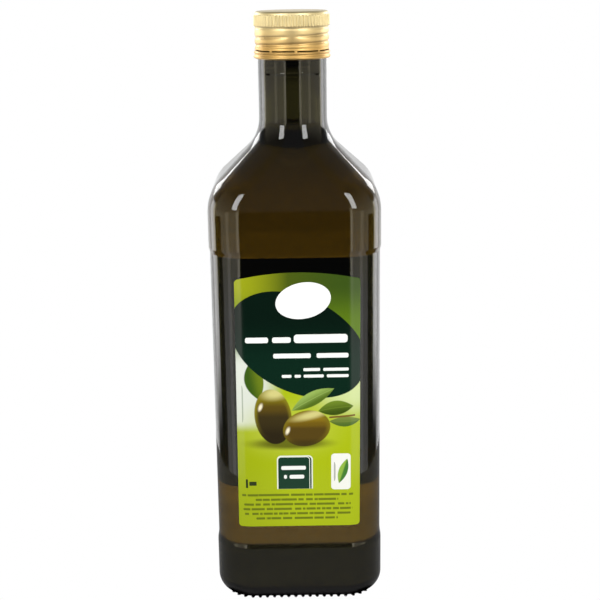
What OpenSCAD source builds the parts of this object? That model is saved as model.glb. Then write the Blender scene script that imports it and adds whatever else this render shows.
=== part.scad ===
// Square olive oil bottle for one litre, with a screw cap and two paper labels.
// Millimetres. The origin is on the table under the middle of the base, +Z is up
// and the front label faces -Y.

/* [Bottle body] */

// Width and depth over the bumper bands above and below the label panels
body_width = 78.4; // [70:0.2:86]
// Radius of the four upright corners at the bumper bands
corner_radius = 17.5; // [14:0.5:20]
// How far the label panels lie back behind the bumper bands
panel_recess = 0.55; // [0.3:0.05:1]
// Height where the lower bumper band starts to step in
heel_step_height = 26.5; // [20:0.5:28]
// Height of the sloping step from the lower band to the panels
heel_step_length = 5; // [3:0.5:7]
// Height where the panels end under the upper bumper band
panel_top_height = 167.9; // [166:0.1:178]
// Height of the sloping step from the panels to the upper band
top_step_length = 2.8; // [2:0.2:4]
// Radius of the round edge between the walls and the base
heel_radius = 9; // [6:0.5:10]

/* [Shoulder and neck] */

// Height where the walls start to turn in
shoulder_height = 186.3; // [183:0.1:190]
// Radius of the shoulder's outward curve
shoulder_radius = 21; // [16:1:22]
// Radius of the inward curve that leads into the neck
neck_curve_radius = 18.8; // [12:0.1:19]
// Height where the neck becomes straight
neck_height = 226.2; // [225:0.2:232]
// Outer radius of the neck
neck_radius = 15.6; // [15:0.1:15.9]
// Height of the top of the glass
glass_height = 273.1; // [270:0.1:280]

/* [Glass thickness] */

// Thickness of the walls behind the label panels
wall_thickness = 2.4; // [2.2:0.1:4]
// Thickness of the glass on the shoulder's curves
shoulder_thickness = 3.4; // [2.8:0.1:4]
// Height of the inside floor
floor_height = 5.5; // [5:0.5:12]
// Radius of the round edge between the inside floor and the walls
floor_radius = 3.5; // [3:0.5:9]
// Thickness of the glass in the neck
neck_thickness = 4.6; // [3.5:0.1:5]
// How much narrower the mouth is than the neck's bore, all round
mouth_step = 1.2; // [0.8:0.1:2]
// Length of the narrower mouth, from the top of the glass down
mouth_length = 18; // [14:1:20]
// Height of the hollow under the base
hollow_height = 2.5; // [2:0.5:4]
// Width of the flat rim that stands on the table
base_rim_width = 4; // [3:0.5:6]

/* [Screw finish] */

// How far the screw part stands out from the neck, all round
finish_step = 0.6; // [0.5:0.05:0.8]
// Length of the screw part of the glass, hidden by the cap
finish_length = 19.5; // [17:0.5:20]
// Radius of the rounded lip at the mouth
lip_radius = 1; // [0.5:0.1:1.5]

/* [Oil] */

// Height of the oil's surface
oil_height = 223; // [200:1:240]

/* [Cap] */

// Height of the cap
cap_length = 21; // [20.5:0.5:22]
// How far the grip ribs stand out from the skirt
cap_rib_proud = 0.35; // [0.2:0.05:0.5]
// Number of grip ribs
cap_rib_count = 66; // [40:2:80]
// Depth of the grooves between the ribs
cap_rib_depth = 0.3; // [0.1:0.05:0.4]
// Length of the ribbed part
cap_rib_length = 5; // [4:0.5:6]
// Radius of the rounded top edge
cap_edge_radius = 1.5; // [0.8:0.1:2]
// Distance from the ribs down to the first ring pressed in over the screw thread
cap_ring_gap = 1; // [0.8:0.1:1.5]
// Distance from one pressed ring to the next
cap_ring_spacing = 3.3; // [3:0.1:3.5]
// Depth of the pressed rings
cap_ring_depth = 0.25; // [0.1:0.05:0.35]
// Thickness of the metal
cap_metal = 0.55; // [0.4:0.05:0.6]
// Clearance between the cap and the glass
cap_clearance = 0.1; // [0.05:0.05:0.2]
// Length of the band below the cut
cap_band_length = 3.4; // [3:0.1:4]
// Radius of the bead along each edge of the band
cap_bead = 0.55; // [0.3:0.05:0.8]
// How far the beads stand out past the band between them
cap_bead_proud = 0.1; // [0.05:0.05:0.25]
// Width of the cut between the cap and the band
cap_cut_width = 0.5; // [0.3:0.1:0.8]
// Number of bridges across the cut
cap_bridge_count = 9; // [6:1:12]
// Width of each bridge
cap_bridge_width = 1; // [0.6:0.1:1.5]
// Turn of the first bridge from the front of the bottle, in degrees
cap_turn = 6; // [0:1:60]

/* [Labels] */

// Width of both labels, measured straight across
label_width = 57; // [50:1:62]
// Thickness of the paper
label_paper = 0.15; // [0.1:0.05:0.2]
// Height of the lower edge of the front label
front_label_bottom = 39.5; // [36:0.5:60]
// Height of the upper corners of the front label
front_label_top = 158.2; // [140:0.1:162]
// Rise of the front label's upper edge in the middle
front_label_arch = 3.3; // [1:0.1:5]
// Height of the lower edge of the back label
back_label_bottom = 38; // [36:0.5:60]
// Height of the upper edge of the back label
back_label_top = 158; // [140:0.5:165]
// Radius of the labels' corners
label_corner = 2; // [1:0.5:6]

/* [Hidden] */

glass_colour = [0.16, 0.13, 0.06, 0.8];
oil_colour = [0.45, 0.36, 0.08, 0.9];
cap_colour = [0.86, 0.74, 0.45];
front_paper_colour = [0.66, 0.77, 0.1];
back_paper_colour = [0.6, 0.72, 0.12];

$fn = 96;

// steps round each moulded corner, up each shoulder curve and up each heel curve
corner_steps = 9;
curve_steps = 7;
heel_steps = 4;
// half of the flat left on each side where a square section has turned round
round_flat = 0.05;
// overlap that joins two shapes of one piece, or carries a cut past a surface
join = 1;

body_half = body_width / 2;
heel_step_end = heel_step_height + heel_step_length;
top_step_end = panel_top_height + top_step_length;
panel_half = body_half - panel_recess;
panel_corner = corner_radius - panel_recess;
panel_flat = panel_half - panel_corner;

cavity_half = panel_half - wall_thickness;
cavity_corner = panel_corner - wall_thickness;
neck_bore_radius = neck_radius - neck_thickness;
mouth_radius = neck_bore_radius - mouth_step;
finish_radius = neck_radius + finish_step;
mouth_bottom = glass_height - mouth_length;
finish_bottom = glass_height - finish_length;

cap_top = glass_height + cap_metal;
cap_bottom = cap_top - cap_length;
cap_inner_radius = finish_radius + cap_clearance;
cap_radius = cap_inner_radius + cap_metal;
cap_rib_radius = cap_radius + cap_rib_proud;
cap_rib_top = cap_top - cap_edge_radius;
cap_rib_bottom = cap_rib_top - cap_rib_length;
cut_bottom = cap_bottom + cap_band_length;
// number of pressed rings, and the radius of the round tool that presses them
cap_ring_count = 3;
cap_ring_radius = 2 * cap_ring_depth;

// a point turned by whole quarters about the upright axis
function quarter_turn(x, y, q) =
    [x * cos(90 * q) - y * sin(90 * q), x * sin(90 * q) + y * cos(90 * q)];

// a level section at height z: a square of half width w with corners of radius r
function section(w, r, z) = [
    for (q = [0 : 3], i = [0 : corner_steps])
        let (a = 90 * i / corner_steps,
             p = quarter_turn(w - r + r * cos(a), w - r + r * sin(a), q))
            [p[0], p[1], z]];

// lean from upright of the slope that touches both shoulder curves, for a wall that
// moves in by d and up by h between curves of radius a and b
function slope_lean(d, h, a, b) =
    atan2(d - a - b, h) + asin((a + b) / sqrt(pow(d - a - b, 2) + h * h));

// sections [w, r, z] of a shoulder from half width w and corner radius r up to
// radius n, with an outward curve of radius a and an inward curve of radius b
function shoulder(w, r, n, a, b) =
    let (lean = slope_lean(w - n, neck_height - shoulder_height, a, b),
         profile = concat(
            [for (i = [0 : curve_steps])
                let (t = lean * i / curve_steps)
                    [w - a * (1 - cos(t)), shoulder_height + a * sin(t)]],
            [for (i = [curve_steps : -1 : 0])
                let (t = lean * i / curve_steps)
                    [n + b * (1 - cos(t)), neck_height - b * sin(t)]]))
        [for (p = profile)
            let (turned = (w - p[0]) / (w - n))
                [p[0], r + (n - round_flat - r) * turned, p[1]]];

// a solid through level sections given from the bottom up as [w, r, z]
module loft(levels) {
    count = 4 * (corner_steps + 1);
    last = len(levels) - 1;
    points = [for (v = levels, p = section(v[0], v[1], v[2])) p];
    sides = [
        for (k = [0 : last - 1], i = [0 : count - 1])
            let (j = (i + 1) % count, a = k * count, b = a + count)
                each [[a + i, b + i, b + j], [a + i, b + j, a + j]]];
    bottom = [for (i = [0 : count - 1]) i];
    top = [for (i = [count - 1 : -1 : 0]) last * count + i];
    polyhedron(points, concat([bottom, top], sides));
}

outer_levels = concat(
    [for (i = [0 : heel_steps])
        let (a = 90 * i / heel_steps)
            [body_half - heel_radius * (1 - sin(a)),
             corner_radius - heel_radius * (1 - sin(a)),
             heel_radius * (1 - cos(a))]],
    [[body_half, corner_radius, heel_step_height],
     [panel_half, panel_corner, heel_step_end],
     [panel_half, panel_corner, panel_top_height],
     [body_half, corner_radius, top_step_end]],
    shoulder(body_half, corner_radius, neck_radius, shoulder_radius, neck_curve_radius),
    [[neck_radius, neck_radius - round_flat, finish_bottom + join]]);

cavity_levels = concat(
    [for (i = [0 : heel_steps])
        let (a = 90 * i / heel_steps)
            [cavity_half - floor_radius * (1 - sin(a)),
             cavity_corner - floor_radius * (1 - sin(a)),
             floor_height + floor_radius * (1 - cos(a))]],
    shoulder(cavity_half, cavity_corner, neck_bore_radius,
        shoulder_radius - shoulder_thickness, neck_curve_radius + shoulder_thickness),
    [[neck_bore_radius, neck_bore_radius - round_flat, mouth_bottom]]);

// the hollow under the base has a flat roof and sides that lean in twice as far as they rise
hollow_half = body_half - heel_radius - base_rim_width;
hollow_corner = corner_radius - heel_radius;
hollow_lean = 2 * hollow_height;
hollow_levels = [
    [hollow_half, hollow_corner, -join],
    [hollow_half, hollow_corner, 0],
    [hollow_half - hollow_lean, hollow_corner, hollow_height]];

module finish() {
    translate([0, 0, finish_bottom])
        cylinder(r = finish_radius, h = finish_length - lip_radius);
    rotate_extrude() {
        translate([0, glass_height - lip_radius - join])
            square([finish_radius - lip_radius, lip_radius + join]);
        translate([finish_radius - lip_radius, glass_height - lip_radius])
            circle(r = lip_radius);
    }
}

module bottle() {
    color(glass_colour)
        difference() {
            union() {
                loft(outer_levels);
                finish();
            }
            loft(cavity_levels);
            translate([0, 0, mouth_bottom - join])
                cylinder(r = mouth_radius, h = mouth_length + 2 * join);
            loft(hollow_levels);
        }
}

// the oil fills the cavity exactly, up to its surface
module oil() {
    color(oil_colour)
        intersection() {
            loft(cavity_levels);
            translate([-body_half, -body_half, 0])
                cube([body_width, body_width, oil_height]);
        }
}

// the outline of the cap's ribs, seen from above
function rib_outline() = [
    for (i = [0 : cap_rib_count - 1], s = [0 : 1])
        let (a = 360 * (i + 0.5 * s) / cap_rib_count,
             r = cap_rib_radius - s * cap_rib_depth)
            [r * cos(a), r * sin(a)]];

module cap_skin() {
    // the turned skirt, with the pressed rings over the thread and the band's two beads
    rotate_extrude()
        difference() {
            union() {
                translate([0, cap_bottom])
                    square([cap_radius, cap_length - cap_edge_radius]);
                translate([0, cap_top - cap_edge_radius - join])
                    square([cap_radius - cap_edge_radius, cap_edge_radius + join]);
                translate([cap_radius - cap_edge_radius, cap_top - cap_edge_radius])
                    circle(r = cap_edge_radius);
                translate([cap_radius, cap_bottom + cap_bead])
                    circle(r = cap_bead);
                translate([cap_radius, cap_bottom + cap_band_length - cap_bead])
                    circle(r = cap_bead);
                translate([cap_radius - join, cap_bottom])
                    square([join + cap_bead - cap_bead_proud, cap_band_length]);
            }
            for (k = [0 : cap_ring_count - 1])
                translate([cap_radius + cap_ring_radius - cap_ring_depth,
                    cap_rib_bottom - cap_ring_gap - k * cap_ring_spacing])
                    circle(r = cap_ring_radius);
        }
    translate([0, 0, cap_rib_bottom])
        linear_extrude(height = cap_rib_length)
            polygon(rib_outline());
}

module cap_cut() {
    difference() {
        translate([0, 0, cut_bottom])
            cylinder(r = cap_rib_radius + join, h = cap_cut_width);
        for (i = [0 : cap_bridge_count - 1])
            rotate([0, 0, cap_turn - 90 + 360 * i / cap_bridge_count])
                translate([0, -cap_bridge_width / 2, cut_bottom - join])
                    cube([cap_rib_radius + 2 * join, cap_bridge_width, cap_cut_width + 2 * join]);
    }
}

module cap() {
    color(cap_colour)
        difference() {
            cap_skin();
            cap_cut();
            translate([0, 0, cap_bottom - join])
                cylinder(r = cap_inner_radius, h = glass_height - cap_bottom + join);
        }
}

// an upright block with the panels' section, larger by grow, from height low to high
module panel_block(low, high, grow) {
    half = panel_half + grow;
    radius = panel_corner + grow;
    translate([-panel_flat, -half, low])
        cube([2 * panel_flat, 2 * half, high - low]);
    translate([-half, -panel_flat, low])
        cube([2 * half, 2 * panel_flat, high - low]);
    for (x = [-1, 1], y = [-1, 1])
        translate([x * panel_flat, y * panel_flat, low])
            cylinder(r = radius, h = high - low);
}

// the flat outline of a label with round corners and a rise in its upper edge
module label_outline(low, high, rise) {
    half = label_width / 2;
    translate([-half + label_corner, low])
        square([label_width - 2 * label_corner, high - low]);
    translate([-half, low + label_corner])
        square([label_width, high - low - 2 * label_corner]);
    for (x = [-1, 1], z = [low + label_corner, high - label_corner])
        translate([x * (half - label_corner), z])
            circle(r = label_corner);
    if (rise > 0) {
        chord = half - label_corner;
        arch_radius = (chord * chord + rise * rise) / (2 * rise);
        intersection() {
            translate([0, high + rise - arch_radius])
                circle(r = arch_radius);
            translate([-chord, high - join])
                square([2 * chord, rise + 2 * join]);
        }
    }
}

// a label is a skin of paper on the -Y panel that runs on round its two corners
module label(low, high, rise) {
    intersection() {
        difference() {
            panel_block(low, high + rise, label_paper);
            panel_block(low - join, high + rise + join, 0);
        }
        translate([0, -panel_flat, 0])
            rotate([90, 0, 0])
                linear_extrude(height = body_half)
                    label_outline(low, high, rise);
    }
}

module front_label() {
    color(front_paper_colour)
        label(front_label_bottom, front_label_top, front_label_arch);
}

module back_label() {
    color(back_paper_colour)
        rotate([0, 0, 180])
            label(back_label_bottom, back_label_top, 0);
}

bottle();
oil();
cap();
front_label();
back_label();
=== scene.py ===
import math

import bmesh
import bpy
from mathutils import Matrix, Vector


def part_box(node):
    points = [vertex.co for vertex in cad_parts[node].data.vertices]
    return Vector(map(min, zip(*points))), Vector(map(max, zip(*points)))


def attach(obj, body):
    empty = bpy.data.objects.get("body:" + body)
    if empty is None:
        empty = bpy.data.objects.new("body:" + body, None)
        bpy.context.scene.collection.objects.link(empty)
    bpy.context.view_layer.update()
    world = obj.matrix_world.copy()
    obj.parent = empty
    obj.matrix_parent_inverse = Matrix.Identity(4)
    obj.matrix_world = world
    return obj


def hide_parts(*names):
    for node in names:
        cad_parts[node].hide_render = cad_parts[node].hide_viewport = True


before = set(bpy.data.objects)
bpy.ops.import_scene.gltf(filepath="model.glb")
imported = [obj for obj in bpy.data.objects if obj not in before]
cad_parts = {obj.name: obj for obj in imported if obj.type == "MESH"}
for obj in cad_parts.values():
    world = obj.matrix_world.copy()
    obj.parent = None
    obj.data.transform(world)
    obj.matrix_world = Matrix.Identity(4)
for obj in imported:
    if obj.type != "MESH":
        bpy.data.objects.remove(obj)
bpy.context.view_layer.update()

MM = 0.001

# ----------------------------------------------------------------------------------
# The glass. One piece of dark olive brown container glass, blown in a mould: a square
# body with round corners, two bumper bands that keep the label panels off other
# bottles, a round shoulder, a straight neck and the screw part that the cap hides.

glass_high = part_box("bottle")[1]
body_half = glass_high[0]
glass_top = glass_high[2]

panel_recess = 0.55 * MM
body_corner = 17.5 * MM
heel_radius = 9 * MM
heel_step = (26.5 * MM, 31.5 * MM)
top_step = (167.9 * MM, 170.7 * MM)
shoulder_start = 186.3 * MM
shoulder_radius = 21 * MM
neck_curve_radius = 18.8 * MM
neck_start = 226.2 * MM
neck_radius = 15.6 * MM
neck_seam = 246.5 * MM
seam_reach = 0.9 * MM
seam_proud = 0.12 * MM
neck_bore = 11 * MM
wall_thickness = 2.4 * MM
shoulder_thickness = 3.4 * MM
floor_height = 5.5 * MM
floor_radius = 3.5 * MM
finish_radius = 16.2 * MM
finish_start = glass_top - 19.5 * MM
mouth_radius = 9.8 * MM
mouth_start = glass_top - 18 * MM
mouth_slope = 1.2 * MM
lip_radius = 1 * MM
hollow_height = 2.5 * MM
base_rim_width = 4 * MM
lug_height = 0.55 * MM
round_flat = 0.03 * MM
# a level this far past a bend keeps the flat beyond it straight
support = 0.5 * MM
# half width and corner radius of the last small level before a closing middle point
hub = (2 * MM, 1 * MM)

panel_half = body_half - panel_recess
panel_corner = body_corner - panel_recess
panel_flat = panel_half - panel_corner
cavity_half = panel_half - wall_thickness
cavity_corner = panel_corner - wall_thickness


def level_loop(half, corner, height, corner_steps=20):
    """The points of one level section: a square of that half width with round corners."""
    flat = half - corner
    side = [(half, flat * share) for share in (-0.94, -0.4, 0.4, 0.94)]
    turn = [math.radians(90 * step / corner_steps) for step in range(corner_steps + 1)]
    quarter = side + [(flat + corner * math.cos(a), flat + corner * math.sin(a)) for a in turn]
    loop = []
    for count in range(4):
        spin = Matrix.Rotation(math.radians(90 * count), 2)
        loop += [(*(spin @ Vector(point)), height) for point in quarter]
    return loop


def loft(name, levels):
    """A closed mesh through level sections, each (half width, corner radius, height)."""
    shape = bmesh.new()
    rings = [[shape.verts.new(point) for point in level_loop(*level)] for level in levels]
    for lower, upper in zip(rings, rings[1:]):
        for here in range(len(lower)):
            after = (here + 1) % len(lower)
            shape.faces.new((lower[here], lower[after], upper[after], upper[here]))
    for ring, level in ((rings[0], levels[0]), (rings[-1], levels[-1])):
        centre = shape.verts.new((0, 0, level[2]))
        for here in range(len(ring)):
            shape.faces.new((centre, ring[here], ring[(here + 1) % len(ring)]))
    bmesh.ops.recalc_face_normals(shape, faces=shape.faces)
    return finished(name, shape)


def finished(name, shape):
    """The object made of a bmesh, with smooth faces."""
    for face in shape.faces:
        face.smooth = True
    mesh = bpy.data.meshes.new(name)
    shape.to_mesh(mesh)
    shape.free()
    piece = bpy.data.objects.new(name, mesh)
    bpy.context.scene.collection.objects.link(piece)
    return piece


def round_edge(half, corner, height, radius, start, end, steps=9):
    """Levels round an edge that bulges out to half at that height, by angles from straight down."""
    levels = []
    for step in range(steps + 1):
        angle = math.radians(start + (end - start) * step / steps)
        pull = radius * (1 - math.sin(angle))
        levels.append((half - pull, corner - pull, height - radius * math.cos(angle)))
    return levels


def eased_step(low, high, start, end, steps=10):
    """Levels of a sloping step with soft edges between two (half width, corner radius)."""
    levels = []
    for step in range(steps + 1):
        share = step / steps
        ease = share * share * (3 - 2 * share)
        half = start[0] + (end[0] - start[0]) * ease
        corner = start[1] + (end[1] - start[1]) * ease
        levels.append((half, corner, low + (high - low) * share))
    return levels


def shoulder(half, corner, neck, outward, inward, steps=22):
    """Levels up a shoulder: a curve out of the wall, a straight slope and a curve into the neck."""
    rise = neck_start - shoulder_start
    shift = half - neck - outward - inward
    lean = math.atan2(shift, rise) + math.asin((outward + inward) / math.hypot(shift, rise))
    profile = []
    for step in range(steps + 1):
        angle = lean * step / steps
        profile.append((half - outward * (1 - math.cos(angle)), shoulder_start + outward * math.sin(angle)))
    for step in range(steps, -1, -1):
        angle = lean * step / steps
        profile.append((neck + inward * (1 - math.cos(angle)), neck_start - inward * math.sin(angle)))
    levels = []
    for width, height in profile:
        turned = (half - width) / (half - neck)
        levels.append((width, corner + (neck - round_flat - corner) * turned, height))
    return levels


def round_level(radius, height):
    """A level that is a circle."""
    return (radius, radius - round_flat, height)


band = (body_half, body_corner)
panel = (panel_half, panel_corner)
rim_half = body_half - heel_radius
rim_corner = body_corner - heel_radius
hollow_half = rim_half - base_rim_width
hollow_side = 2 * hollow_height

hollow_levels = [
    (*hub, hollow_height),
    (hollow_half - hollow_side - 1 * MM, rim_corner - 1 * MM, hollow_height),
    (hollow_half - hollow_side, rim_corner, hollow_height - 0.2 * MM),
    (hollow_half - 0.3 * MM, rim_corner, lug_height + 0.2 * MM),
    (hollow_half + 0.2 * MM, rim_corner, lug_height),
    (rim_half - support, rim_corner - support, lug_height),
]
wall_levels = (
    round_edge(*band, heel_radius, heel_radius - lug_height, 0, 90, 14)
    + [(*band, heel_radius + support), (*band, heel_step[0] - support)]
    + eased_step(*heel_step, band, panel)
    + [(*panel, heel_step[1] + support), (*panel, top_step[0] - support)]
    + eased_step(*top_step, panel, band)
    + [(*band, top_step[1] + support), (*band, shoulder_start - support)]
    + shoulder(*band, neck_radius, shoulder_radius, neck_curve_radius)
)
wall_levels = [(half, corner, max(height, 0) + 0) for half, corner, height in wall_levels]
finish_levels = [
    round_level(neck_radius, neck_start + support),
    round_level(neck_radius, neck_seam - seam_reach),
    round_level(neck_radius + 0.02 * MM, neck_seam - 0.4 * MM),
    round_level(neck_radius + seam_proud, neck_seam),
    round_level(neck_radius + 0.02 * MM, neck_seam + 0.4 * MM),
    round_level(neck_radius, neck_seam + seam_reach),
    round_level(neck_radius, finish_start - 1 * MM),
    round_level(neck_radius + 0.05 * MM, finish_start - 0.4 * MM),
    round_level(finish_radius, finish_start),
    round_level(finish_radius, glass_top - lip_radius),
    round_level(finish_radius - 0.3 * MM, glass_top - 0.3 * MM),
    round_level(finish_radius - lip_radius, glass_top),
    round_level(mouth_radius + 0.6 * MM, glass_top),
    round_level(mouth_radius, glass_top - 0.6 * MM),
    round_level(mouth_radius, mouth_start),
    round_level(neck_bore, mouth_start - mouth_slope),
    round_level(neck_bore, neck_start + 1 * MM),
]
cavity_levels = (
    round_edge(cavity_half, cavity_corner, floor_height + floor_radius, floor_radius, 0, 90, 12)
    + [(cavity_half, cavity_corner, floor_height + floor_radius + support)]
    + [(cavity_half, cavity_corner, shoulder_start - support)]
    + shoulder(
        cavity_half,
        cavity_corner,
        neck_bore,
        shoulder_radius - shoulder_thickness,
        neck_curve_radius + shoulder_thickness,
    )
)

bottle = loft(
    "bottle_glass",
    hollow_levels
    + wall_levels
    + finish_levels
    + cavity_levels[::-1]
    + [(*hub, floor_height)],
)


def put(tree, kind, **settings):
    """A new shader node with the given properties."""
    node = tree.nodes.new("ShaderNode" + kind)
    for name, value in settings.items():
        setattr(node, name, value)
    return node


def feed(tree, socket, value):
    """Links value to the socket if it is another node's output, or sets it."""
    if isinstance(value, bpy.types.NodeSocket):
        tree.links.new(value, socket)
    else:
        socket.default_value = value


def new_finish(name):
    """A new material, its node tree and its surface shader."""
    material = bpy.data.materials.new(name)
    material.use_nodes = True
    return material, material.node_tree, material.node_tree.nodes["Principled BSDF"]


def add_absorption(tree, per_metre):
    """Fills a clear material with a liquid or glass that takes out red, green and blue by the metre."""
    density = max(per_metre) * 1.01
    volume = put(tree, "VolumeAbsorption")
    volume.inputs["Density"].default_value = density
    volume.inputs["Color"].default_value = (*[1 - take / density for take in per_metre], 1)
    tree.links.new(volume.outputs["Volume"], tree.nodes["Material Output"].inputs["Volume"])


def glass_finish():
    """Dark olive brown glass, very slightly uneven as blown glass is."""
    material, tree, surface = new_finish("olive_brown_glass")
    surface.inputs["Base Color"].default_value = (1, 1, 1, 1)
    surface.inputs["Transmission Weight"].default_value = 1
    surface.inputs["Roughness"].default_value = 0
    surface.inputs["IOR"].default_value = 1.52
    add_absorption(tree, (441, 454, 610))
    spot = put(tree, "TexCoord")
    waves = put(tree, "TexNoise")
    waves.inputs["Scale"].default_value = 70
    waves.inputs["Detail"].default_value = 1
    tree.links.new(spot.outputs["Object"], waves.inputs["Vector"])
    relief = put(tree, "Bump")
    relief.inputs["Strength"].default_value = 1
    relief.inputs["Distance"].default_value = 0.04 * MM
    tree.links.new(waves.outputs["Fac"], relief.inputs["Height"])
    tree.links.new(relief.outputs["Normal"], surface.inputs["Normal"])
    return material


glass = glass_finish()
bottle.data.materials.append(glass)
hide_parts("bottle")
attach(bottle, "root")

# The lugs that the bottle stands on. The mould cuts a row of short ridges across the
# base rim, so that the hot bottle touches the belt at few places.

lug_spacing = 3.4 * MM
lug_length = 4.4 * MM
lug_width = 1.9 * MM
lug_inset = 6.6 * MM
lug_drop = 0.7 * MM


def rim_place(along, half, corner):
    """The point on the rim's middle line and its outward direction, along it from +X."""
    flat = half - corner
    side = 2 * flat
    arc = corner * math.pi / 2
    quarter, rest = divmod(along, side + arc)
    if rest < side:
        point = Vector((half, rest - flat))
        outward = Vector((1, 0))
    else:
        angle = (rest - side) / corner
        outward = Vector((math.cos(angle), math.sin(angle)))
        point = Vector((flat, flat)) + outward * corner
    spin = Matrix.Rotation(quarter * math.pi / 2, 2)
    return spin @ point, spin @ outward


def base_lugs():
    """All the lugs as one mesh of low domes, longer across the rim than along it."""
    half = body_half - lug_inset
    corner = body_corner - lug_inset
    length = 4 * (2 * (half - corner) + corner * math.pi / 2)
    number = round(length / lug_spacing)
    shape = bmesh.new()
    for count in range(number):
        point, outward = rim_place(length * count / number, half, corner)
        turn = math.atan2(outward.y, outward.x)
        place = (
            Matrix.Translation((*point, lug_drop))
            @ Matrix.Rotation(turn, 4, "Z")
            @ Matrix.Diagonal((lug_length / 2, lug_width / 2, lug_drop, 1))
        )
        bmesh.ops.create_uvsphere(shape, u_segments=14, v_segments=8, radius=1, matrix=place)
    return finished("bottle_base_lugs", shape)


lugs = base_lugs()
lugs.data.materials.append(glass)
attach(lugs, "root")

# ----------------------------------------------------------------------------------
# The oil. It fills the bottle to the foot of the neck, and its surface climbs a little
# where it wets the glass. The piece reaches just into the wall, so no air shows between.

oil_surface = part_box("oil")[1][2]
oil_reach = 0.15 * MM
oil_climb = 0.9 * MM


def width_at(levels, height):
    """The half width and corner radius of a run of levels at one height."""
    for below, above in zip(levels, levels[1:]):
        if below[2] <= height <= above[2]:
            share = (height - below[2]) / max(above[2] - below[2], 1e-9)
            return tuple(below[k] + (above[k] - below[k]) * share for k in (0, 1))
    return levels[-1][:2]


def oil_levels():
    """The cavity grown into the wall, closed by the surface with its raised edge."""
    cavity = cavity_levels + [round_level(neck_bore, mouth_start - mouth_slope)]
    wetted = oil_surface + oil_climb
    levels = [(*hub, floor_height - oil_reach)]
    for half, corner, height in cavity:
        if height < wetted:
            drop = oil_reach if height < floor_height + floor_radius / 2 else 0
            levels.append((half + oil_reach, corner + oil_reach, height - drop))
    half, corner = width_at(cavity, wetted)
    levels.append((half + oil_reach, corner + oil_reach, wetted))
    for share in (0.0, 0.25, 0.5, 1.0, 1.6, 2.5, 4.0):
        inset = share * 1.1 * MM
        height = oil_surface + oil_climb * math.exp(-1.6 * share)
        levels.append((half - inset, corner - inset, height))
    levels.append((hub[0], hub[0] - 0.1 * MM, oil_surface))
    return levels


def oil_finish():
    """Clear amber olive oil."""
    material, tree, surface = new_finish("olive_oil")
    surface.inputs["Base Color"].default_value = (1, 1, 1, 1)
    surface.inputs["Transmission Weight"].default_value = 1
    surface.inputs["Roughness"].default_value = 0
    surface.inputs["IOR"].default_value = 1.47
    add_absorption(tree, (10.2, 17.9, 47.0))
    return material


oil = loft("oil_filling", oil_levels())
oil.data.materials.append(oil_finish())
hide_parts("oil")
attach(oil, "root")

# ----------------------------------------------------------------------------------
# The cap. A thin aluminium shell with a pale gold lacquer, rolled onto the glass: fine
# grip ribs, the thread pressed in below them, a cut with small bridges, and a band
# whose beads lock it under the glass ring. It is unopened.

cap_low, cap_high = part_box("cap")
cap_top = cap_high[2]
cap_bottom = cap_low[2]
cap_length = cap_top - cap_bottom
cap_radius = 16.85 * MM
cap_sheet = 0.25 * MM
rib_number = 66
rib_proud = 0.55 * MM
rib_foot = 0.15 * MM
rib_zone = (14.4 * MM, 19.3 * MM)
cap_edge = 1.5 * MM
cap_dish = 0.05 * MM
thread_pitch = 3.3 * MM
thread_front = 6.75 * MM
thread_depth = 0.5 * MM
# grooves (inward) and beads (outward) rolled round the skirt: height, half width, depth in mm
cap_rolls = (
    (13.6, 0.5, -0.28),
    (4.9, 0.3, -0.12),
    (2.75, 0.5, 0.5),
    (0.85, 0.75, 0.62),
    (-0.25, 0.3, -0.5),
)
cut_zone = (3.45 * MM, 3.95 * MM)
bridge_number = 9
bridge_half_angle = 1.9
bridge_turn = 6


def soft_between(value, low, high, blur):
    """1 inside low to high, 0 outside, with soft ends."""
    rise = min(max((value - low) / blur + 0.5, 0), 1)
    fall = min(max((high - value) / blur + 0.5, 0), 1)
    return rise * rise * (3 - 2 * rise) * fall * fall * (3 - 2 * fall)


def hump(value, middle, width):
    """A bell of height 1."""
    return math.exp(-(((value - middle) / width) ** 2))


def thread_press(turn, height):
    """How deep the roller pressed the thread in. turn is from the front, -180 to 180 degrees."""
    press = 0
    for lap in range(3):
        laps = turn / 360 + lap
        line = thread_front + thread_pitch * laps
        ends = soft_between(laps, -0.35, 1.72, 0.16)
        gap = 1 - hump(laps, 1.0, 0.04)
        press += ends * gap * hump(height, line, 0.62 * MM)
    return press


def skirt_radius(turn, height):
    """Outer radius of the cap's skirt at a height above its lower edge."""
    angle = math.radians(turn)
    ribbed = soft_between(height, *rib_zone, 0.5 * MM)
    rib = abs(math.cos(angle * rib_number / 2)) ** 0.6
    radius = cap_radius + ribbed * (rib_proud * rib - rib_foot)
    radius -= thread_depth * thread_press(turn, height)
    for middle_height, width, outward in cap_rolls:
        radius += outward * MM * hump(height, middle_height * MM, width * MM)
    wobble = math.sin(3 * angle + 1) + math.sin(5 * angle + height / MM * 0.7)
    return radius + 0.02 * MM * wobble


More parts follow.
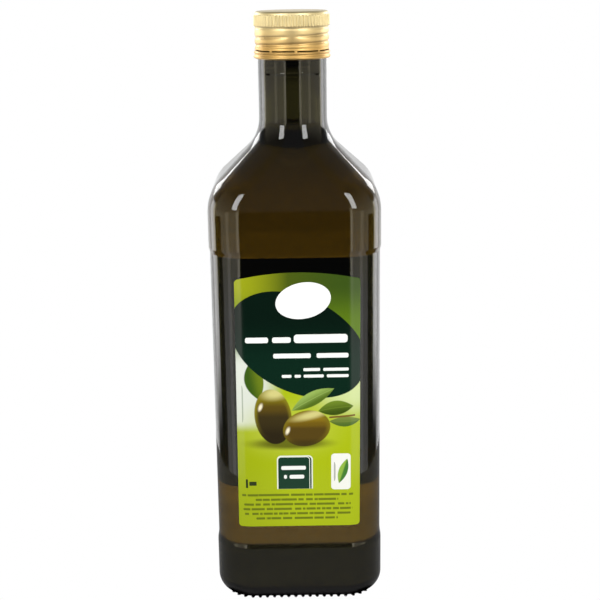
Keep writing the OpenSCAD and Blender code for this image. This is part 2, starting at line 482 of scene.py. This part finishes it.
def cap_shell():
    """The whole cap as a sheet with the cut left open between the bridges."""
    columns = rib_number * 8
    skirt_rows = 150
    skirt = cap_length - cap_edge
    heights = [skirt - skirt * row / skirt_rows for row in range(skirt_rows + 1)]
    for edge in cut_zone:
        nearest = min(range(len(heights)), key=lambda row: abs(heights[row] - edge))
        heights[nearest] = edge
    shape = bmesh.new()
    middle = shape.verts.new((0, 0, cap_top))
    rings = []
    for inset, drop in ((9, 0), (3.4, 0), (2.6, 0.03), (2.0, 0.05)):
        rings.append([(cap_radius - inset * MM, cap_top - drop * MM)] * columns)
    edge_steps = 9
    for step in range(1, edge_steps):
        angle = math.radians(90 * step / edge_steps)
        width = cap_radius - cap_edge * (1 - math.sin(angle))
        drop = cap_dish + (cap_edge - cap_dish) * (1 - math.cos(angle))
        rings.append([(width, cap_top - drop)] * columns)
    for height in heights:
        rings.append(
            [
                (skirt_radius(360 * column / columns - 180, height), cap_bottom + height)
                for column in range(columns)
            ]
        )
    loops = []
    for ring in rings:
        loop = []
        for column, (radius, height) in enumerate(ring):
            angle = math.radians(360 * column / columns - 180 - 90)
            loop.append(shape.verts.new((radius * math.cos(angle), radius * math.sin(angle), height)))
        loops.append(loop)
    for column in range(columns):
        after = (column + 1) % columns
        shape.faces.new((middle, loops[0][column], loops[0][after]))
    for upper, lower in zip(loops, loops[1:]):
        high = upper[0].co.z - cap_bottom
        low = lower[0].co.z - cap_bottom
        in_cut = low > cut_zone[0] - 1e-6 and high < cut_zone[1] + 1e-6
        for column in range(columns):
            after = (column + 1) % columns
            turn = 360 * (column + 0.5) / columns - 180 - bridge_turn
            half_pitch = 180 / bridge_number
            off_bridge = abs((turn + half_pitch) % (2 * half_pitch) - half_pitch)
            if in_cut and off_bridge > bridge_half_angle:
                continue
            shape.faces.new((upper[column], lower[column], lower[after], upper[after]))
    bmesh.ops.recalc_face_normals(shape, faces=shape.faces)
    piece = finished("cap_shell", shape)
    sheet = piece.modifiers.new("sheet", "SOLIDIFY")
    sheet.thickness = cap_sheet
    sheet.offset = -1
    return piece


def srgb(red, green, blue):
    """A colour given as 0 to 255 on screen, for a shader."""
    shares = [level / 255 for level in (red, green, blue)]
    return (*[((x + 0.055) / 1.055) ** 2.4 if x > 10 / 255 else x / 12.92 for x in shares], 1)


def cap_finish():
    """Aluminium under pale gold lacquer: satin, with faint rolling marks round it, and painted shade that
    makes it darker and more orange low down.
    """
    material, tree, surface = new_finish("gold_lacquered_aluminium")
    spot = put(tree, "TexCoord")
    stretch = put(tree, "Mapping")
    stretch.inputs["Scale"].default_value = (60, 60, 900)
    tree.links.new(spot.outputs["Object"], stretch.inputs["Vector"])
    grain = put(tree, "TexNoise")
    grain.inputs["Scale"].default_value = 1
    grain.inputs["Detail"].default_value = 3
    tree.links.new(stretch.outputs["Vector"], grain.inputs["Vector"])
    height = put(tree, "SeparateXYZ")
    tree.links.new(spot.outputs["Object"], height.inputs[0])
    # one gold lacquer, painted darker and more orange toward the foot and paler toward the top as shade
    lacquer_and_painted_shade = put(tree, "ValToRGB")
    lacquer_and_painted_shade.color_ramp.elements[0].color = srgb(212, 174, 106)
    lacquer_and_painted_shade.color_ramp.elements[1].color = srgb(228, 212, 164)
    upward = put(tree, "MapRange")
    upward.inputs["From Min"].default_value = cap_bottom + 5 * MM
    upward.inputs["From Max"].default_value = cap_bottom + 16 * MM
    tree.links.new(height.outputs["Z"], upward.inputs["Value"])
    tree.links.new(upward.outputs["Result"], lacquer_and_painted_shade.inputs["Fac"])
    streaks = put(tree, "HueSaturation")
    shade = put(tree, "MapRange")
    shade.inputs["To Min"].default_value = 0.94
    shade.inputs["To Max"].default_value = 1.04
    tree.links.new(grain.outputs["Fac"], shade.inputs["Value"])
    tree.links.new(shade.outputs["Result"], streaks.inputs["Value"])
    tree.links.new(lacquer_and_painted_shade.outputs["Color"], streaks.inputs["Color"])
    tree.links.new(streaks.outputs["Color"], surface.inputs["Base Color"])
    surface.inputs["Metallic"].default_value = 1
    rough = put(tree, "MapRange")
    rough.inputs["To Min"].default_value = 0.44
    rough.inputs["To Max"].default_value = 0.54
    tree.links.new(grain.outputs["Fac"], rough.inputs["Value"])
    tree.links.new(rough.outputs["Result"], surface.inputs["Roughness"])
    surface.inputs["Coat Weight"].default_value = 0.25
    surface.inputs["Coat Roughness"].default_value = 0.16
    relief = put(tree, "Bump")
    relief.inputs["Distance"].default_value = 0.02 * MM
    tree.links.new(grain.outputs["Fac"], relief.inputs["Height"])
    tree.links.new(relief.outputs["Normal"], surface.inputs["Normal"])
    return material


cap = cap_shell()
cap.data.materials.append(cap_finish())
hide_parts("cap")
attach(cap, "root")

# ----------------------------------------------------------------------------------
# The front label. Glossy coated paper, cut with a low arch along its top, glued to the
# panel and carried on round both corners. It is printed lime green, with a dark green
# oval field, a white oval, two olives on a twig and lines of small print as plain bars.

front_low, front_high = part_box("front_label")
label_half = 28.35 * MM
label_lift = 0.12 * MM
label_sink = 0.05 * MM
label_corner = 1.5 * MM
label_shift = (0.15 * MM, 0.9 * MM)
sharp_turn = math.radians(40)
front_arch = 3.3 * MM


def panel_place(along, height, lift, turn=1):
    """The point that far along the panel's face from its middle line, lifted off the glass."""
    beyond = abs(along) - panel_flat
    across = along
    out = panel_half + lift
    if beyond > 0:
        angle = beyond / panel_corner
        across = math.copysign(panel_flat + (panel_corner + lift) * math.sin(angle), along)
        out = panel_flat + (panel_corner + lift) * math.cos(angle)
    return (turn * across, -turn * out, height)


def label_sheet(name, low, high, arch, shift=(0, 0), turn=1):
    """A sheet of paper on the panel, its upper edge arched. shift moves its foot and its head aside."""
    corner_columns, inner_columns, rows = 8, 26, 40
    straight = label_half - label_corner
    corner_turns = [math.radians(90 * step / corner_columns) for step in range(corner_columns + 1)]
    ends = [straight + label_corner * math.sin(a) for a in corner_turns]
    inner = [straight * step / inner_columns for step in range(inner_columns)]
    half_columns = inner + ends
    columns = [-x for x in reversed(half_columns)] + half_columns[1:]
    shape = bmesh.new()
    uv = shape.loops.layers.uv.new("print")
    faces = {}
    for side, lift in (("front", label_lift), ("back", -label_sink)):
        grid = []
        for along in columns:
            past = max(abs(along) - straight, 0)
            cut = label_corner - math.sqrt(max(label_corner**2 - past**2, 0))
            foot = low + cut
            head = high - arch * (along / label_half) ** 2 - cut
            line = []
            for row in range(rows + 1):
                share = row / rows
                aside = along + shift[0] + (shift[1] - shift[0]) * share
                line.append(shape.verts.new(panel_place(aside, foot + (head - foot) * share, lift, turn)))
            grid.append(line)
        faces[side] = grid
        for one, two in zip(grid, grid[1:]):
            for row in range(rows):
                face = shape.faces.new((one[row], two[row], two[row + 1], one[row + 1]))
                face.material_index = 0 if side == "front" else 1
    front, back = faces["front"], faces["back"]
    border = [(c, 0) for c in range(len(columns) - 1)]
    border += [(len(columns) - 1, r) for r in range(rows)]
    border += [(c, rows) for c in range(len(columns) - 1, 0, -1)]
    border += [(0, r) for r in range(rows, 0, -1)]
    for here, after in zip(border, border[1:] + border[:1]):
        corners = (front[here[0]][here[1]], front[after[0]][after[1]])
        shape.faces.new((*corners, back[after[0]][after[1]], back[here[0]][here[1]]))
    bmesh.ops.recalc_face_normals(shape, faces=shape.faces)
    for edge in shape.edges:
        edge.smooth = edge.calc_face_angle() < sharp_turn
    shape.verts.index_update()
    place = {}
    for grid in (front, back):
        for column, along in zip(grid, columns):
            share_across = (along + label_half) / (2 * label_half)
            for vertex in column:
                place[vertex.index] = (share_across, (vertex.co.z - low) / (high - low))
    for face in shape.faces:
        for corner in face.loops:
            corner[uv].uv = place[corner.vert.index]
    return finished(name, shape)


def print_place(tree, low, high):
    """Where a point lies on the label: millimetres across from its middle, and up from the table."""
    spot = put(tree, "TexCoord")
    stretch = put(tree, "Mapping")
    stretch.inputs["Scale"].default_value = (2 * label_half / MM, (high - low) / MM, 1)
    stretch.inputs["Location"].default_value = (-label_half / MM, low / MM, 0)
    tree.links.new(spot.outputs["UV"], stretch.inputs["Vector"])
    return stretch.outputs["Vector"]


def fade(tree, value, start, end):
    """0 at start and 1 at end, with a smooth run between."""
    node = put(tree, "MapRange", interpolation_type="SMOOTHSTEP")
    feed(tree, node.inputs["Value"], value)
    node.inputs["From Min"].default_value = min(start, end)
    node.inputs["From Max"].default_value = max(start, end)
    node.inputs["To Min"].default_value = 0 if start < end else 1
    node.inputs["To Max"].default_value = 1 if start < end else 0
    return node.outputs["Result"]


def sums(tree, operation, first, second=0.0, third=0.0):
    """One step of arithmetic."""
    node = put(tree, "Math", operation=operation)
    for socket, value in zip(node.inputs, (first, second, third)):
        feed(tree, socket, value)
    return node.outputs["Value"]


def local(tree, place, middle, size=(1, 1), tilt=0):
    """place as seen from a shape's middle, turned with it and divided by its size."""
    node = put(tree, "Mapping", vector_type="TEXTURE")
    tree.links.new(place, node.inputs["Vector"])
    node.inputs["Location"].default_value = (*middle, 0)
    node.inputs["Rotation"].default_value = (0, 0, math.radians(tilt))
    node.inputs["Scale"].default_value = (*size, 1)
    return node.outputs["Vector"]


def reach(tree, vector):
    """How long a vector is."""
    node = put(tree, "VectorMath", operation="LENGTH")
    tree.links.new(vector, node.inputs[0])
    return node.outputs["Value"]


def parts(tree, vector):
    """The two parts of a place on the label."""
    node = put(tree, "SeparateXYZ")
    tree.links.new(vector, node.inputs[0])
    return node.outputs["X"], node.outputs["Y"]


def oval(tree, place, middle, size, tilt=0, blur=0.02):
    """A mask in the shape of an ellipse."""
    return fade(tree, reach(tree, local(tree, place, middle, size, tilt)), 1 + blur, 1 - blur)


def slab(tree, place, middle, half, corner, tilt=0, blur=0.08):
    """A mask in the shape of a bar or panel with round corners."""
    vector = local(tree, place, middle, (1, 1), tilt)
    for operation, other in (
        ("ABSOLUTE", None),
        ("SUBTRACT", (half[0] - corner, half[1] - corner, 0)),
        ("MAXIMUM", (0, 0, 0)),
    ):
        node = put(tree, "VectorMath", operation=operation)
        tree.links.new(vector, node.inputs[0])
        if other:
            node.inputs[1].default_value = other
        vector = node.outputs["Vector"]
    return fade(tree, reach(tree, vector), corner + blur, corner - blur)


def blade(tree, place, base, tip, half_width, bend=0.0):
    """A leaf from base to tip: its mask, and the place across it from -1 to 1."""
    length = math.hypot(tip[0] - base[0], tip[1] - base[1])
    middle = ((base[0] + tip[0]) / 2, (base[1] + tip[1]) / 2)
    tilt = math.degrees(math.atan2(tip[1] - base[1], tip[0] - base[0]))
    along, across = parts(tree, local(tree, place, middle, (length / 2, half_width), tilt))
    bulge = sums(tree, "SUBTRACT", 1, sums(tree, "MULTIPLY", along, along))
    across = sums(tree, "SUBTRACT", across, sums(tree, "MULTIPLY", bulge, bend))
    inside = sums(tree, "SUBTRACT", bulge, sums(tree, "ABSOLUTE", across))
    return fade(tree, inside, 0, 0.12), across


def ink(tree, below, colour, mask):
    """Lays a colour over what is printed so far, where the mask is."""
    node = put(tree, "Mix", data_type="RGBA")
    feed(tree, node.inputs["Factor"], mask)
    feed(tree, node.inputs[6], below)
    feed(tree, node.inputs[7], colour)
    return node.outputs[2]


def both(tree, first, *others):
    """Where all the masks are."""
    for other in others:
        first = sums(tree, "MULTIPLY", first, other)
    return first


def coated_paper(tree, surface, colour):
    """The printed colour on glossy coated paper, with a faint fibre in its sheen."""
    tree.links.new(colour, surface.inputs["Base Color"])
    spot = put(tree, "TexCoord")
    fibre = put(tree, "TexNoise")
    fibre.inputs["Scale"].default_value = 900
    fibre.inputs["Detail"].default_value = 3
    tree.links.new(spot.outputs["Object"], fibre.inputs["Vector"])
    rough = put(tree, "MapRange")
    rough.inputs["To Min"].default_value = 0.12
    rough.inputs["To Max"].default_value = 0.2
    tree.links.new(fibre.outputs["Fac"], rough.inputs["Value"])
    tree.links.new(rough.outputs["Result"], surface.inputs["Roughness"])
    surface.inputs["IOR"].default_value = 1.5
    relief = put(tree, "Bump")
    relief.inputs["Strength"].default_value = 0.4
    relief.inputs["Distance"].default_value = 0.01 * MM
    tree.links.new(fibre.outputs["Fac"], relief.inputs["Height"])
    tree.links.new(relief.outputs["Normal"], surface.inputs["Normal"])


def small_print(tree, place, colour_below, colour, middle, half, seed, strength=0.75):
    """A line of small print, shown as a bar broken into words."""
    across = parts(tree, place)[0]
    words = put(tree, "TexNoise", noise_dimensions="1D")
    words.inputs["Scale"].default_value = 1
    words.inputs["Detail"].default_value = 2
    feed(tree, words.inputs["W"], sums(tree, "MULTIPLY_ADD", across, 0.55, seed))
    gaps = fade(tree, words.outputs["Fac"], 0.36, 0.40)
    mask = both(tree, slab(tree, place, middle, half, half[1] * 0.6), gaps)
    return ink(tree, colour_below, colour, both(tree, mask, strength))


def front_print():
    """Everything printed on the front label, from the ground up."""
    material, tree, surface = new_finish("front_label_print")
    place = print_place(tree, front_low[2], front_high[2])
    across, up = parts(tree, place)

    lime = srgb(176, 193, 16)
    colour = ink(tree, lime, srgb(164, 180, 14), fade(tree, across, 5, -29))

    # the band across the top: olive yellow on the left, deep green on the right
    top_run = put(tree, "ValToRGB")
    stops = top_run.color_ramp.elements
    stops[0].position = 0
    stops[0].color = srgb(156, 164, 22)
    stops[1].position = 1
    stops[1].color = srgb(58, 82, 22)
    middle_stop = stops.new(0.45)
    middle_stop.color = srgb(74, 90, 18)
    tree.links.new(fade(tree, across, -29, 24), top_run.inputs["Fac"])
    lighter = ink(tree, top_run.outputs["Color"], srgb(92, 122, 20), fade(tree, up, 156, 136))
    colour = ink(tree, colour, lighter, fade(tree, up, 112, 122))

    # the white glow behind the olives, and a smaller one on the right
    glow = both(tree, fade(tree, up, 86, 92), fade(tree, across, -6, -18))
    colour = ink(tree, colour, srgb(224, 229, 216), both(tree, glow, fade(tree, up, 132, 118)))
    haze = oval(tree, place, (26, 106), (16, 10), 0, 0.75)
    colour = ink(tree, colour, srgb(214, 228, 160), haze)
    warm = oval(tree, place, (-4, 88), (20, 12), 0, 0.6)
    colour = ink(tree, colour, srgb(196, 208, 80), both(tree, warm, 0.5))

    # a leaf that hangs behind the dark field
    mask, side = blade(tree, place, (-20.5, 122), (-17.6, 101.5), 4.6, -0.25)
    leaf = ink(tree, srgb(60, 92, 22), srgb(108, 128, 26), fade(tree, side, -0.6, 0.7))
    colour = ink(tree, colour, leaf, mask)

    # the dark green field, an oval that the label's sides cut off
    field = ink(tree, srgb(9, 40, 27), srgb(4, 24, 15), fade(tree, up, 116, 142))
    colour = ink(tree, colour, field, oval(tree, place, (0.1, 127.8), (33.4, 21.9), -29.7, 0.006))

    # the white oval, left bare
    colour = ink(tree, colour, srgb(255, 255, 252), oval(tree, place, (2.5, 148.5), (12.5, 8.3), 11, 0.012))

    # the title and the lines under it, as plain bars
    title = srgb(250, 252, 246)
    for start, end, low, high in (
        (-23.8, -13.4, 129.0, 131.6),
        (-11.6, -3.2, 129.0, 131.6),
        (-1.8, 22.4, 128.8, 132.8),
        (-11.2, 5.8, 121.7, 123.9),
        (8.4, 22.8, 121.7, 123.9),
        (2.4, 10.0, 115.5, 116.9),
        (11.4, 22.9, 115.5, 116.9),
        (-7.4, -3.0, 112.4, 113.8),
        (-1.6, 1.2, 112.4, 113.8),
        (2.5, 11.6, 112.4, 113.8),
        (13.0, 22.9, 112.4, 113.8),
    ):
        middle = ((start + end) / 2, (low + high) / 2)
        half = ((end - start) / 2, (high - low) / 2)
        colour = ink(tree, colour, title, slab(tree, place, middle, half, min(half) * 0.7))

    # small print up the left edge
    colour = small_print(tree, place, colour, srgb(90, 110, 70), (-25.7, 100), (0.45, 15.5), 3, 0.5)

    # the twig and its leaves
    for base, tip, width, bend, dark, pale in (
        ((-3.4, 96.4), (16.6, 107.2), 3.5, 0.12, (86, 112, 30), (156, 186, 92)),
        ((8.8, 96.2), (25.4, 98.4), 3.7, 0.1, (62, 84, 18), (112, 138, 40)),
        ((13.8, 91.2), (28.8, 91.6), 2.5, -0.2, (84, 112, 42), (124, 142, 62)),
    ):
        mask, side = blade(tree, place, base, tip, width, bend)
        leaf = ink(tree, srgb(*dark), srgb(*pale), fade(tree, side, -0.7, 0.9))
        rib = fade(tree, sums(tree, "ABSOLUTE", side), 0.1, 0.02)
        leaf = ink(tree, leaf, srgb(*pale), both(tree, rib, 0.6))
        colour = ink(tree, colour, leaf, mask)
    colour = ink(tree, colour, srgb(124, 96, 44), slab(tree, place, (20, 93.5), (6, 0.45), 0.4, 4))

    # the shadow under the olives, then the olives: lit from above, darker low down
    ground_shade = oval(tree, place, (-4, 80.6), (16.5, 2.6), 0, 0.5)
    colour = ink(tree, colour, srgb(70, 66, 10), both(tree, ground_shade, 0.8))
    for middle, size, tilt, spot, top, runs, lit, rim in (
        (
            (-11.6, 93.7),
            (8.5, 13.4),
            8,
            (-17.4, 98.4),
            (-10.6, 105.0, 5.2, 2.6),
            ((103, 98, (92, 74, 22)), (98, 93, (60, 50, 24)), (92, 84, (45, 37, 20))),
            (132, 118, 18),
            (136, 126, 30),
        ),
        (
            (3.7, 87.9),
            (11.0, 8.6),
            14,
            (-5.0, 86.8),
            (6.0, 94.4, 7.6, 1.7),
            ((93, 90, (116, 92, 20)), (90, 87.5, (88, 69, 23)), (83.5, 80.5, (68, 56, 22))),
            (146, 120, 26),
            (128, 112, 26),
        ),
    ):
        vector = local(tree, place, middle, size, tilt)
        outward = reach(tree, vector)
        skin = srgb(*lit)
        for start, end, dark in runs:
            skin = ink(tree, skin, srgb(*dark), fade(tree, up, start, end))
        edge = both(tree, fade(tree, outward, 0.74, 1.0), fade(tree, up, runs[-1][1] - 2, runs[1][0]))
        skin = ink(tree, skin, srgb(*rim), edge)
        gloss = oval(tree, place, top[:2], top[2:], tilt, 0.7)
        skin = ink(tree, skin, srgb(216, 208, 132), gloss)
        glint = oval(tree, place, spot, (0.8, 1.7), -20, 0.6)
        skin = ink(tree, skin, srgb(250, 240, 206), glint)
        colour = ink(tree, colour, skin, fade(tree, outward, 1.02, 0.97))

    # the dark badge with its white outline, open at the foot
    for start, end, low, high, corner, shade in (
        (-10.2, 6.4, 56.0, 74.7, 2.0, (238, 244, 228)),
        (-9.5, 5.8, 56.0, 74.1, 1.6, (24, 60, 42)),
        (-9.6, 5.1, 56.0, 74.1, 1.6, (238, 244, 228)),
        (-9.6, 4.8, 56.0, 73.8, 1.4, (24, 60, 42)),
    ):
        middle = ((start + end) / 2, (low + high) / 2)
        half = ((end - start) / 2, (high - low) / 2)
        mask = slab(tree, place, middle, half, corner)
        colour = ink(tree, colour, srgb(*shade), both(tree, mask, fade(tree, up, 58.1, 58.3)))
    for start, end, height in ((-8.2, 3.2, 68.6), (-7.0, -5.6, 64.2), (-4.4, 2.4, 64.2)):
        middle = ((start + end) / 2, height)
        colour = ink(tree, colour, title, slab(tree, place, middle, ((end - start) / 2, 0.95), 0.7))

    # the content mark and a plain panel with a leaf sign
    for middle, half in (((-24.2, 61.0), (0.5, 2.2)), ((-21.4, 61.0), (1.7, 1.0))):
        colour = ink(tree, colour, srgb(46, 58, 20), slab(tree, place, middle, half, 0.3))
    colour = ink(tree, colour, srgb(250, 250, 240), slab(tree, place, (19.4, 66.5), (4.5, 8.9), 1.6))
    mask, side = blade(tree, place, (18.4, 60.5), (22.4, 73.0), 2.2)
    sign = ink(tree, srgb(70, 130, 50), srgb(150, 190, 70), fade(tree, side, -0.2, 0.2))
    colour = ink(tree, colour, sign, mask)
    colour = small_print(tree, place, colour, srgb(90, 100, 80), (16.4, 66.5), (0.5, 7.0), 9, 0.6)

    # six lines of small print along the foot
    for count, (start, end) in enumerate(
        ((-26.6, 25.1), (-20.3, 18.2), (-25.7, 24.0), (-26.1, 24.8), (-25.4, 23.9), (-20.1, 18.0))
    ):
        middle = ((start + end) / 2, 55.2 - 2.34 * count)
        half = ((end - start) / 2, 0.55)
        colour = small_print(tree, place, colour, srgb(76, 88, 12), middle, half, 11 * count + 2)

    coated_paper(tree, surface, colour)
    return material


def paper_back_painted_dark():
    """The glued side of the paper, painted dark grey as the shade it lies in; it only shows dimly through
    the oil.
    """
    material, tree, surface = new_finish("glued_paper_painted_dark")
    spot = put(tree, "TexCoord")
    patches = put(tree, "TexNoise")
    patches.inputs["Scale"].default_value = 120
    tree.links.new(spot.outputs["Object"], patches.inputs["Vector"])
    # white paper painted dark grey: painted shade for the little light that reaches it through the oil and
    # glass
    tint = ink(tree, srgb(62, 60, 50), srgb(82, 80, 68), patches.outputs["Fac"])
    tree.links.new(tint, surface.inputs["Base Color"])
    surface.inputs["Roughness"].default_value = 0.7
    return material


front_label = label_sheet("front_label_paper", front_low[2], front_high[2], front_arch, label_shift)
front_label.data.materials.append(front_print())
front_label.data.materials.append(paper_back_painted_dark())
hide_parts("front_label")
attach(front_label, "root")

# ----------------------------------------------------------------------------------
# The back label. The same paper and lime ink on the panel behind, cut square, with a
# pale panel of small print and a block of stripes.

back_low, back_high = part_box("back_label")


def back_print():
    """The back label's print: a lime ground, a dark head and a pale panel of lines."""
    material, tree, surface = new_finish("back_label_print")
    place = print_place(tree, back_low[2], back_high[2])
    across, up = parts(tree, place)
    colour = ink(tree, srgb(176, 193, 16), srgb(156, 176, 14), fade(tree, across, 5, -29))
    colour = ink(tree, colour, srgb(12, 40, 29), fade(tree, up, 141.9, 142.1))
    for start, end, height in ((-20, -4, 150), (-1, 20, 150)):
        middle = ((start + end) / 2, height)
        mask = slab(tree, place, middle, ((end - start) / 2, 1.8), 1.2)
        colour = ink(tree, colour, srgb(250, 252, 246), mask)
    colour = ink(tree, colour, srgb(238, 242, 214), slab(tree, place, (0, 104), (25, 34), 2))
    for count in range(22):
        middle = (-1.5 if count % 5 == 4 else 0, 134.5 - 2.8 * count)
        half = (18 if count % 5 == 4 else 22.5, 0.6)
        colour = small_print(tree, place, colour, srgb(60, 72, 34), middle, half, 7 * count + 1)
    colour = ink(tree, colour, srgb(250, 250, 246), slab(tree, place, (10, 54.5), (15, 9), 1))
    stripes = put(tree, "TexNoise", noise_dimensions="1D")
    stripes.inputs["Scale"].default_value = 1
    stripes.inputs["Detail"].default_value = 0
    feed(tree, stripes.inputs["W"], sums(tree, "MULTIPLY", across, 2.4))
    block = slab(tree, place, (10, 54.5), (12.5, 7), 0.1)
    bars = both(tree, fade(tree, stripes.outputs["Fac"], 0.49, 0.51), block)
    colour = ink(tree, colour, srgb(22, 24, 20), bars)
    coated_paper(tree, surface, colour)
    return material


back_label = label_sheet("back_label_paper", back_low[2], back_high[2], 0, turn=-1)
back_label.data.materials.append(back_print())
back_label.data.materials.append(paper_back_painted_dark())
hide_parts("back_label")
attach(back_label, "root")

# ----------------------------------------------------------------------------------
# The table and the studio: a pale table top, a tall soft light on each side in front, a
# smaller one on each side behind, pale screens round them and a white wall at the back.
# None of it is part of the bottle.

table_radius = 0.2
bottle_shade = 38 * MM
table_mirrored = 0.27
table_through_glass = 1.9


def table_top():
    """A flat pale disc under the bottle that gives off its own light, with a painted shadow where the
    bottle covers it.
    """
    shape = bmesh.new()
    bmesh.ops.create_circle(shape, cap_ends=True, segments=96, radius=table_radius)
    piece = finished("table_top", shape)
    material = bpy.data.materials.new("pale_table")
    material.use_nodes = True
    tree = material.node_tree
    tree.nodes.clear()
    spot = put(tree, "TexCoord")
    # painted shadow: the disc's own light is taken out in a soft square where the bottle stands
    painted_shadow = slab(tree, spot.outputs["Object"], (0, 0), (bottle_shade, bottle_shade), 9 * MM, 0, 3 * MM)
    lit = sums(tree, "SUBTRACT", 1, painted_shadow)
    ray = put(tree, "LightPath")
    through = ray.outputs["Is Transmission Ray"]
    extra = table_through_glass - table_mirrored
    level = both(tree, lit, sums(tree, "MULTIPLY_ADD", through, extra, table_mirrored))
    glow = put(tree, "Emission")
    feed(tree, glow.inputs["Strength"], sums(tree, "MAXIMUM", ray.outputs["Is Camera Ray"], level))
    end = put(tree, "OutputMaterial")
    tree.links.new(glow.outputs["Emission"], end.inputs["Surface"])
    piece.data.materials.append(material)
    return piece


table_top()


def studio_world():
    """What surrounds the bottle, by direction from it."""
    world = bpy.data.worlds.new("studio")
    world.use_nodes = True
    tree = world.node_tree
    background = tree.nodes["Background"]
    spot = put(tree, "TexCoord")
    split = put(tree, "SeparateXYZ")
    tree.links.new(spot.outputs["Generated"], split.inputs[0])
    aside, away, up = split.outputs["X"], split.outputs["Y"], split.outputs["Z"]
    turn = put(tree, "Math", operation="ARCTAN2")
    tree.links.new(sums(tree, "ABSOLUTE", aside), turn.inputs[0])
    tree.links.new(sums(tree, "MULTIPLY", away, -1), turn.inputs[1])
    turn = sums(tree, "DEGREES", turn.outputs["Value"])
    rise = sums(tree, "DEGREES", sums(tree, "ARCSINE", up))

    # pale screens low down on both sides, with a brighter near edge and slit, and dim ones above
    level = sums(tree, "MULTIPLY_ADD", fade(tree, rise, 0, 8), 0.12, 0.035)
    side = fade(tree, turn, 20.5, 23)
    full = both(tree, side, fade(tree, turn, 108, 102))
    short = both(tree, side, fade(tree, turn, 84, 78))
    low = fade(tree, rise, 5, 3)
    screen = both(tree, full, low, fade(tree, rise, -10, -8))
    foot = both(tree, short, fade(tree, rise, -8, -10))
    slit = both(tree, fade(tree, turn, 52, 54), fade(tree, turn, 64, 62), low)
    near = both(tree, side, fade(tree, turn, 31, 27), fade(tree, rise, -16, -13), fade(tree, rise, 14, 10))
    upper = both(tree, full, fade(tree, rise, 3, 5), fade(tree, rise, 60, 5))

    # the bright wall behind, brighter toward its two ends
    eaves = fade(tree, rise, 16, 8)
    ends = both(tree, fade(tree, turn, 102, 109), fade(tree, turn, 131, 124), eaves)
    ends = both(tree, ends, fade(tree, rise, -21.5, -15.5))
    flank = both(tree, fade(tree, turn, 124, 131), fade(tree, turn, 165, 145), eaves)
    wall = both(tree, fade(tree, turn, 118, 134), fade(tree, rise, 46, 16))
    for zone, brightness in (
        (sums(tree, "ADD", screen, foot), 0.85),
        (slit, 0.6),
        (near, 1.2),
        (upper, 0.5),
        (ends, 3.6),
        (flank, 0.7),
        (wall, 0.86),
    ):
        level = sums(tree, "MULTIPLY_ADD", zone, brightness, level)

    # white where it is looked at directly or through the glass, dim high up through the glass
    ray = put(tree, "LightPath")
    through = ray.outputs["Is Transmission Ray"]
    behind = both(tree, fade(tree, turn, 70, 90), fade(tree, rise, 20, 5))
    level = sums(tree, "MAXIMUM", level, both(tree, through, behind))
    raised = both(tree, through, fade(tree, rise, 5, 20))
    level = both(tree, level, sums(tree, "MULTIPLY_ADD", raised, -0.85, 1))
    level = sums(tree, "MAXIMUM", level, ray.outputs["Is Camera Ray"])
    level = sums(tree, "MAXIMUM", level, sums(tree, "MULTIPLY", ray.outputs["Is Diffuse Ray"], 0.35))
    tree.links.new(level, background.inputs["Strength"])

    # the side screens are cream coloured where they are mirrored
    cream = both(tree, side, fade(tree, turn, 114, 108), fade(tree, rise, -16, -11))
    tint = ink(tree, (1, 1, 1, 1), (1, 0.92, 0.7, 1), both(tree, cream, ray.outputs["Is Glossy Ray"]))
    tree.links.new(tint, background.inputs["Color"])
    return world


bpy.context.scene.world = studio_world()


def soft_light(turns, rises, radiance, distance=1.0):
    """A rectangular soft light that covers a range of directions, in degrees, as seen from the bottle."""
    turn = math.radians(sum(turns) / 2)
    rise = math.radians(sum(rises) / 2)
    toward = Vector((math.sin(turn) * math.cos(rise), -math.cos(turn) * math.cos(rise), math.sin(rise)))
    lamp = bpy.data.lights.new("soft_light", "AREA")
    lamp.shape = "RECTANGLE"
    lamp.size = 2 * distance * math.tan(math.radians(abs(turns[1] - turns[0]) / 2)) * math.cos(rise)
    lamp.size_y = 2 * distance * math.tan(math.radians((rises[1] - rises[0]) / 2))
    lamp.energy = radiance * math.pi * lamp.size * lamp.size_y
    holder = bpy.data.objects.new("soft_light", lamp)
    holder.location = toward * distance + Vector((0, 0, 0.2))
    holder.rotation_euler = (-toward).to_track_quat("-Z", "Y").to_euler()
    holder.visible_camera = False
    holder.visible_transmission = False
    bpy.context.scene.collection.objects.link(holder)
    return holder


for side in (-1, 1):
    soft_light((27 * side, 44 * side), (11, 50), 8.5)
    soft_light((130 * side, 149 * side), (12, 29), 5.5)

bpy.context.scene.view_settings.view_transform = "Standard"

# ----------------------------------------------------------------------------------
# The camera. It stands in front, a little above the cap, and looks slightly down.

camera_distance = 0.5843
camera_height = 0.2935
camera_side = 0.00195
camera_pitch = 14.85
camera_roll = -0.85
camera_lens = 75.9


def add_camera():
    """The camera, on a holder that sets its place and the way it looks."""
    data = bpy.data.cameras.new("camera")
    data.lens = camera_lens
    data.sensor_width = 36
    holder = bpy.data.objects.new("camera", data)
    holder.matrix_world = (
        Matrix.Translation((camera_side, -camera_distance, camera_height))
        @ Matrix.Rotation(math.radians(90 - camera_pitch), 4, "X")
        @ Matrix.Rotation(math.radians(camera_roll), 4, "Z")
    )
    bpy.context.scene.collection.objects.link(holder)
    bpy.context.scene.camera = holder


add_camera()
